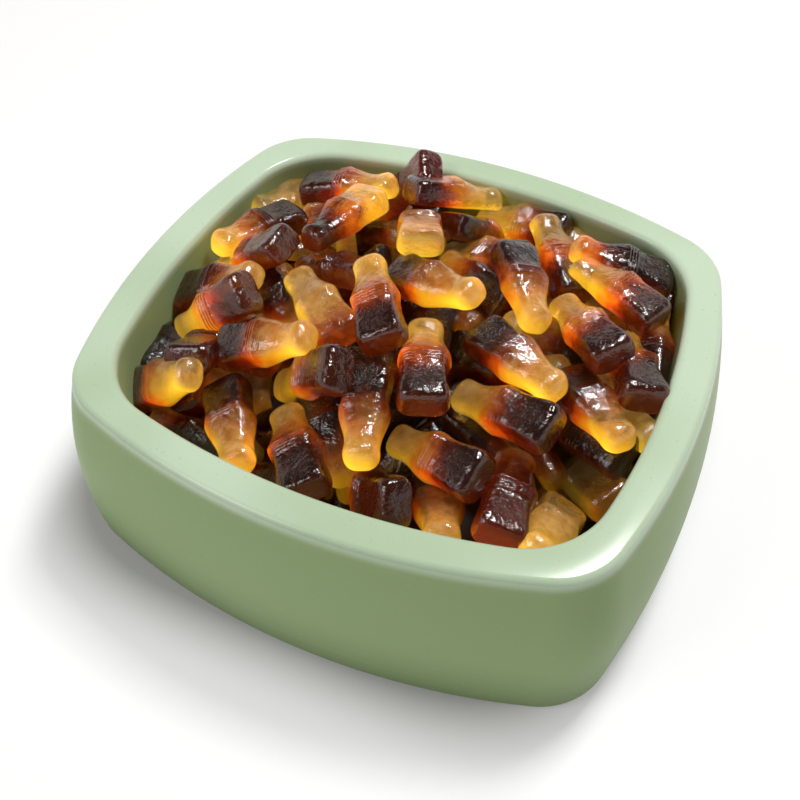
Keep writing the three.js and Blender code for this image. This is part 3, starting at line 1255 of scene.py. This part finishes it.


# Glow colours are painted glow and sheen colours are painted sheen, both given off as emission.
POURED = (
    Pour(0.28, (0.014, 0.0022, 0.0010), (0.060, 0.0034, 0.0003), (0.085, 0.020, 0.010)),
    Pour(0.40, (0.075, 0.008, 0.002), (0.25, 0.013, 0.0006), (0.20, 0.045, 0.014)),
    Pour(0.50, (0.38, 0.055, 0.005), (0.80, 0.10, 0.002), (0.50, 0.13, 0.025)),
    Pour(0.60, (0.64, 0.19, 0.015), (0.98, 0.29, 0.005), (0.80, 0.34, 0.07)),
    Pour(0.70, (0.82, 0.39, 0.05), (1.0, 0.54, 0.014), (1.0, 0.64, 0.22)),
    Pour(0.95, (0.88, 0.51, 0.14), (1.0, 0.64, 0.035), (1.0, 0.74, 0.34)),
)


class Grain(Enum):
    """The jelly's noises: how fine each one is, and how many finer ones are added to it."""

    WOBBLE = (130.0, 2.0)
    DULLNESS = (260.0, 3.0)
    MOTTLE = (280.0, 4.0)
    RIPPLES = (360.0, 3.0)
    RAGGED = (420.0, 3.0)
    PORES = (1100.0, 2.0)
    SHEEN = (1300.0, 2.0)
    SPECKS = (1500.0, 2.0)


@dataclass(frozen=True)
class ColaJelly:
    """Clear jelly that goes from dark cola at the base to amber at the tip.

    Its lower sides get a painted glow, given off as emission for light that enters from above
    and leaves there, and its top faces get a painted sheen. How much each point glows is held by
    the mesh, and depends on how it faces and how open it lies.
    """

    tan: Colour = (0.66, 0.38, 0.17)
    brick: Colour = (0.22, 0.024, 0.006)
    redness: float = 0.7
    paleness: float = 0.5
    ragged: float = 0.1
    frost: float = 0.1
    clearness: float = 0.86
    index: float = 1.42
    depth_of_light: float = 8.0 * MM
    light_spread: Triple = (1.0, 0.45, 0.12)
    roughness: float = 0.15
    roughness_spread: Pair = (-0.04, 0.06)
    shine: float = 0.35
    coat: float = 0.9
    coat_roughness: float = 0.06

    def frosted_patch(self, web: NodeWeb, along: Socket, across: Socket, front: Socket) -> Socket:
        """Where the front of the body is frosted, with ragged edges.

        Args:
            web: The jelly's nodes.
            along: Place along the bottle.
            across: Place across it.
            front: Place towards its front.

        Returns:
            1 in the patch and 0 round it.
        """
        noise = web.noise(web.object_place(), *Grain.RAGGED.value)
        ragged = web.ranged(noise, 0.3, 0.7, -self.ragged, self.ragged)
        edge = web.math("ADD", web.math("ABSOLUTE", across), ragged)
        reach = web.math("ADD", along, web.math("MULTIPLY", ragged, 0.5))
        ends = web.math("MULTIPLY", web.ranged(reach, 0.04, 0.12), web.ranged(reach, 0.28, 0.44, 1.0, 0.0))
        middle = web.ranged(edge, 0.35, 0.7, 1.0, 0.0)
        return web.math("MULTIPLY", web.math("MULTIPLY", ends, middle), web.ranged(front, 0.4, 0.8))

    def colour_by_pour(self, web: NodeWeb, along: Socket) -> None:
        """Feeds the colour, and the painted glow and painted top sheen given off as emission, from the
        place in the pour.
        """
        place = web.object_place()
        split, paleness, redness = web.parts(web.attribute("bottle_tone", "Vector"))
        side_glow, painted_top_sheen, _ = web.parts(web.attribute("bottle_painted_light", "Vector"))
        wobble = web.ranged(web.noise(place, *Grain.WOBBLE.value), 0.3, 0.7, -0.06, 0.06)
        share = web.math("ADD", web.math("SUBTRACT", along, split), wobble)
        share = web.math("ADD", share, 0.5)
        tint, glow, painted_sheen = (
            web.ramp(share, [(stage.along, getattr(stage, name)) for stage in POURED])
            for name in ("tint", "glow", "painted_sheen")
        )
        red_share = web.math("MULTIPLY", redness, self.redness)
        tint, glow = web.blend(red_share, tint, self.brick), web.blend(red_share, glow, self.brick)
        pale_share = web.math("MULTIPLY", paleness, web.ranged(share, 0.45, 0.62, 0.0, self.paleness))
        web.feed(web.shader, "Base Color", web.blend(pale_share, tint, self.tan))
        # The painted top sheen is broken up by mottle and added to the painted glow as emission.
        mottle = web.ranged(web.noise(place, *Grain.MOTTLE.value), 0.35, 0.65, 0.35, 1.6)
        painted_top_sheen = web.math("MULTIPLY", painted_top_sheen, mottle)
        strength = web.math("ADD", side_glow, painted_top_sheen)
        painted_sheen_share = web.math("DIVIDE", painted_top_sheen, web.math("MAXIMUM", strength, 0.001))
        web.feed(web.shader, "Emission Color", web.blend(painted_sheen_share, glow, painted_sheen))
        web.feed(web.shader, "Emission Strength", strength)

    def make(self) -> bpy.types.Material:
        """The jelly as a procedural material."""
        web = NodeWeb("cola_jelly")
        web.material.cycles.emission_sampling = "NONE"
        shader, place = web.shader, web.object_place()
        along, across, front = web.parts(web.attribute("bottle_place", "Vector"))
        self.colour_by_pour(web, along)
        grain = web.noise(place, *Grain.SPECKS.value)
        patch = self.frosted_patch(web, along, across, front)
        frost = web.math("MULTIPLY", patch, web.ranged(grain, 0.45, 0.62))
        smooth, dull = (self.roughness + spread for spread in self.roughness_spread)
        rough = web.ranged(web.noise(place, *Grain.DULLNESS.value), 0.35, 0.65, smooth, dull)
        web.feed(shader, "Roughness", web.math("ADD", rough, web.math("MULTIPLY", frost, self.frost)))
        shader.inputs["Transmission Weight"].default_value = self.clearness
        shader.inputs["Subsurface Weight"].default_value = 1.0
        shader.inputs["Subsurface Radius"].default_value = self.light_spread
        shader.inputs["Subsurface Scale"].default_value = self.depth_of_light
        shader.inputs["IOR"].default_value = self.index
        shader.inputs["Specular IOR Level"].default_value = self.shine
        shader.inputs["Coat Weight"].default_value = self.coat
        shader.inputs["Coat Roughness"].default_value = self.coat_roughness
        ripples = web.bump(web.noise(place, *Grain.RIPPLES.value), 0.6, 0.001)
        fine = web.bump(web.noise(place, *Grain.PORES.value), 0.5, 0.0005, ripples)
        speckled = web.bump(grain, web.math("MULTIPLY", patch, 0.8), 0.0005, fine)
        web.feed(shader, "Normal", speckled)
        sheen = web.bump(web.noise(place, *Grain.SHEEN.value), 0.22, 0.0004, ripples)
        web.feed(shader, "Coat Normal", sheen)
        return web.material


@dataclass(frozen=True)
class DeepJelly:
    """The heap's unlit depth, painted shade: nearly black, with a few dark amber patches as painted glints.
    """

    dark: Colour = srgb(22, 8, 5)
    glint: Colour = srgb(74, 26, 8)

    def make(self) -> bpy.types.Material:
        """The depth as a procedural material."""
        web = NodeWeb("deep_jelly")
        place = web.object_place()
        blobs = web.noise(place, 60.0, 2.0)
        web.feed(web.shader, "Base Color", web.blend(web.ranged(blobs, 0.55, 0.7), self.dark, self.glint))
        web.feed(web.shader, "Roughness", web.ranged(blobs, 0.3, 0.7, 0.35, 0.6))
        web.feed(web.shader, "Normal", web.bump(blobs, 0.4, 0.002))
        return web.material


@dataclass
class SweetHeap:
    """The heap of gummy bottles: those in sight by kind, those under them, and a core."""

    mound: Mound
    eye: Viewpoint
    jelly: ColaJelly = field(default_factory=ColaJelly)
    deep: DeepJelly = field(default_factory=DeepJelly)
    # Painted light, given off by the jelly as emission: glow on edges and on sides facing away from the key
    # light, sheen on top faces, both fading deeper under the mound as painted shade.
    light_leaves: Triple = (-0.35, -0.85, -0.35)
    even_glow: float = 0.03
    edge_glow: float = 0.3
    edge_span: float = 1.2
    edge_power: float = 1.6
    side_glow: float = 0.9
    painted_top_sheen: float = 0.11
    facing_power: float = 1.5
    light_reach: float = 9.0
    open_depth: float = 2.0
    core_top: float = 31.0
    core_gap: float = 1.0 * MM
    core_side: float = 16.0 * MM
    core_least: float = 6.0 * MM
    core_rings: int = 12
    seed: int = 3

    def joined(
        self,
        name: str,
        master: Thing,
        lying: Lying,
        members: list[int],
        tones: list[Triple],
        turned_pours: list[bool],
        finish: bpy.types.Material,
    ) -> None:
        """Copies one sweet to every place where its kind lies, and joins the copies into a piece.

        Args:
            name: Name of the piece.
            master: The sweet that is copied.
            lying: Where every sweet lies.
            members: Which of them are of this kind.
            tones: How each member was poured.
            turned_pours: Which members hold their cola at the tip.
            finish: The jelly.
        """
        copies = []
        for member, tone, turned_pour in zip(members, tones, turned_pours):
            copy = master.copy()
            copy.data = master.data.copy()
            bpy.context.scene.collection.objects.link(copy)
            turned = Matrix(lying.axes[member].tolist()).to_4x4()
            turned.translation = Vector(lying.centres[member] * MM)
            copy.data.transform(turned)
            if turned_pour:
                self.turn_pour(copy)
            stored = copy.data.attributes.new("bottle_tone", "FLOAT_VECTOR", "POINT")
            stored.data.foreach_set("vector", np.tile(tone, len(copy.data.vertices)))
            copies.append(copy)
        bpy.data.objects.remove(master)
        clear_selection()
        for copy in copies:
            copy.select_set(True)
        bpy.context.view_layer.objects.active = copies[0]
        bpy.ops.object.join()
        piece = bpy.context.object
        piece.name = piece.data.name = name
        piece.data.materials.clear()
        piece.data.materials.append(finish)
        self.store_painted_light(piece)
        stand_for(piece, "gummy_heap")

    @staticmethod
    def turn_pour(sweet: Thing) -> None:
        """Counts the places along a sweet from its tip, so that its cola lies there."""
        place = sweet.data.attributes["bottle_place"].data
        shares = np.empty(len(place) * 3)
        place.foreach_get("vector", shares)
        shares[::3] = 1.0 - shares[::3]
        place.foreach_set("vector", shares)

    def store_painted_light(self, piece: Thing) -> None:
        """Stores at each point its painted glow, for the light that entered from above and leaves there,
        its painted top sheen, and how open it lies. Both fade deeper under the mound as painted shade.

        Args:
            piece: Sweets at their places.
        """
        count = len(piece.data.vertices)
        places, normals = np.empty(count * 3), np.empty(count * 3)
        piece.data.vertices.foreach_get("co", places)
        piece.data.vertices.foreach_get("normal", normals)
        places = places.reshape(-1, 3) / MM
        leaving = np.array(self.light_leaves) / np.linalg.norm(self.light_leaves)
        normals = normals.reshape(-1, 3)
        facing = np.clip(normals @ leaving, 0.0, 1.0) ** self.facing_power
        edge = np.clip((1.0 - normals[:, 2]) / self.edge_span, 0.0, 1.0) ** self.edge_power
        strength = self.even_glow + self.edge_glow * edge + self.side_glow * facing
        # Painted shade: glow and sheen fade with depth under the mound's top.
        under = self.mound.top(places[:, 0], places[:, 1]) - places[:, 2] - self.open_depth
        openness = np.exp(-np.maximum(0.0, under) / self.light_reach)
        painted_sheen = self.painted_top_sheen * np.clip(normals[:, 2], 0.0, 1.0) ** self.facing_power
        glow = np.stack([openness * strength, openness * painted_sheen, openness], axis=1)
        stored = piece.data.attributes.new("bottle_painted_light", "FLOAT_VECTOR", "POINT")
        stored.data.foreach_set("vector", glow.ravel())

    def build(self) -> None:
        """Packs the heap and builds its pieces."""
        lying = Packing(self.mound, self.eye).settle()
        finish = self.jelly.make()
        draw = np.random.default_rng(self.seed)
        for form in Form:
            members = [order for order, seen in enumerate(SEEN) if seen.form is form]
            tones = []
            for order in members:
                split, pale, red = SEEN[order].tone.value
                tones.append((split + draw.normal(0, 0.02), pale + draw.uniform(0, 0.15), red))
            master = BottleSweet(form).build()
            turned_pours = [SEEN[order].cola_tip for order in members]
            self.joined(f"bottles_{form.value}", master, lying, members, tones, turned_pours, finish)
        hidden = [order for order in range(len(lying.centres)) if not lying.in_sight[order]]
        tones = []
        for _ in hidden:
            split, pale, red = draw.choice([Tone.HIGH.value, Tone.DARK.value, Tone.DARK.value])
            tones.append((split + draw.normal(0, 0.05), pale, red))
        master = BottleSweet(coarse=True, around=10).build()
        self.joined("bottles_under", master, lying, hidden, tones, [False] * len(hidden), finish)
        self.build_core()

    def build_core(self) -> None:
        """Adds the heap's unseen middle, a smaller body under the sweets."""
        bowl = self.mound.bowl
        foot = bowl.cavity_inset(bowl.wall_foot) + self.core_gap
        low = bowl.floor_thickness + self.core_gap
        levels = [Level(foot + bowl.floor_round, low, bowl.cavity_plan, scale) for scale in (0.02, 1.0)]
        for step in range(1, 5):
            angle = math.pi / 2 * step / 4
            inset = foot + bowl.floor_round * (1 - math.sin(angle))
            height = low + (self.core_side - low) * (1 - math.cos(angle))
            levels.append(Level(inset, height, bowl.cavity_plan))
        for ring in range(self.core_rings + 1):
            scale = max(0.02, 1 - ring / self.core_rings)
            levels.append(Level(foot, math.nan, bowl.cavity_plan, scale))

        def place(ring: int, turn: int) -> Triple:
            """Where a point of the core goes."""
            x, y = bowl.outline(levels[ring], turn)
            height = levels[ring].height
            if math.isnan(height):
                under_top = (self.mound.top(x / MM, y / MM) - self.core_top) * MM
                height = max(low + self.core_least, under_top)
            return x, y, height

        core = loft_by_extrusion("heap_core", bowl.around, len(levels), place)
        close_and_turn_out(core)
        core.data.materials.append(self.deep.make())
        stand_for(core, "gummy_heap")


# ---------------------------------------------------------------------------- the studio


@dataclass(frozen=True)
class SoftBox:
    """A square area light: its direction, distance and side in metres, and its radiance."""

    name: str
    towards: Triple
    distance: float
    side: float
    radiance: float
    tint: Colour = (1.0, 1.0, 1.0)

    def build(self, aim: Vector) -> None:
        """Adds the light, turned to what it lights."""
        data = bpy.data.lights.new(self.name, "AREA")
        data.shape = "SQUARE"
        data.size = self.side
        data.energy = self.radiance * math.pi * self.side**2
        data.color = self.tint
        light = bpy.data.objects.new(self.name, data)
        bpy.context.scene.collection.objects.link(light)
        away = Vector(self.towards).normalized() * self.distance
        light.location = aim + away
        light.rotation_euler = (-away).to_track_quat("-Z", "Y").to_euler()


@dataclass(frozen=True)
class LitFloor:
    """A pale floor lit from below, whose own light fades close to the foot of the bowl into a painted
    shadow.
    The painted shadow is a rounded square round a middle. Its distances are shares of its half sizes.
    """

    colour: Colour = (0.45, 0.45, 0.45)
    light: float = 0.53
    roughness: float = 0.8
    shine: float = 0.2
    shade_middle: Pair = (-9.0 * MM, -3.0 * MM)
    shade_half: Pair = (92.0 * MM, 84.0 * MM)
    shade_square: float = 4.0
    shade_from: float = 0.98
    shade_to: float = 1.24
    shade_power: float = 0.6
    light_left: float = 0.15

    def glow(self, web: NodeWeb) -> Socket:
        """How strongly each place of the floor is lit from below, less in the painted shadow round the
        bowl's foot.
        """
        x, y, _ = web.parts(web.object_place())
        sides = []
        for place, middle, half in zip((x, y), self.shade_middle, self.shade_half):
            share = web.math("DIVIDE", web.math("SUBTRACT", place, middle), half)
            sides.append(web.math("POWER", web.math("ABSOLUTE", share), self.shade_square))
        away = web.math("POWER", web.math("ADD", *sides), 1.0 / self.shade_square)
        near = web.math("POWER", web.ranged(away, self.shade_from, self.shade_to), self.shade_power)
        share = web.math("ADD", web.math("MULTIPLY", near, 1.0 - self.light_left), self.light_left)
        return web.math("MULTIPLY", share, self.light)

    def make(self) -> bpy.types.Material:
        """The floor as a procedural material."""
        web = NodeWeb("pale_floor")
        tone = web.noise(web.object_place(), 3.0, 2.0)
        dull = tuple(channel * 0.98 for channel in self.colour)
        web.feed(web.shader, "Base Color", web.blend(tone, self.colour, dull))
        web.shader.inputs["Roughness"].default_value = self.roughness
        web.shader.inputs["Specular IOR Level"].default_value = self.shine
        web.shader.inputs["Emission Color"].default_value = (1.0, 1.0, 1.0, 1.0)
        web.feed(web.shader, "Emission Strength", self.glow(web))
        return web.material


@dataclass
class Studio:
    """A pale round floor with raised edges, a dim surround and soft boxes above and behind."""

    floor_radius: float = 3.0
    sweep_height: float = 1.2
    floor: LitFloor = field(default_factory=LitFloor)
    surround: float = 0.09
    surround_tint: Colour = (1.0, 0.80, 0.62)
    aim: Triple = (0.0, 0.0, 50.0 * MM)
    boxes: tuple[SoftBox, ...] = (
        SoftBox("key_box", (0.14, 0.38, 0.90), 1.0, 0.2, 75.0),
        SoftBox("left_box", (-0.45, -0.55, 0.70), 1.0, 0.4, 6.0),
    )

    def build_floor(self) -> None:
        """Adds the floor and raises its edges into a backdrop."""
        clear_selection()
        bpy.ops.mesh.primitive_circle_add(vertices=64, radius=self.floor_radius, fill_type="NGON")
        floor = bpy.context.object
        floor.name = "pale_floor"
        bpy.ops.object.mode_set(mode="EDIT")
        bpy.ops.mesh.select_mode(type="EDGE")
        bpy.ops.mesh.select_all(action="SELECT")
        bpy.ops.mesh.extrude_edges_move(TRANSFORM_OT_translate={"value": (0.0, 0.0, self.sweep_height)})
        bpy.ops.mesh.select_all(action="SELECT")
        bpy.ops.mesh.normals_make_consistent(inside=True)
        bpy.ops.object.mode_set(mode="OBJECT")
        floor.data.materials.append(self.floor.make())

    def build(self) -> None:
        """Adds the floor, the surround and the lights."""
        self.build_floor()
        world = bpy.data.worlds.new("white_surround")
        world.use_nodes = True
        background = world.node_tree.nodes["Background"]
        background.inputs["Color"].default_value = (*self.surround_tint, 1.0)
        background.inputs["Strength"].default_value = self.surround
        bpy.context.scene.world = world
        for box in self.boxes:
            box.build(Vector(self.aim))
        bpy.context.scene.view_settings.view_transform = "Standard"


def main() -> None:
    """Builds everything, from the camera to the lights."""
    logging.basicConfig(level=logging.INFO, format="%(name)s: %(message)s", stream=sys.stdout)
    eye = Viewpoint()
    eye.build()
    bowl = GlazedBowl()
    bowl.build()
    SweetHeap(Mound(bowl), eye).build()
    Studio().build()


if __name__ == "__main__":
    main()
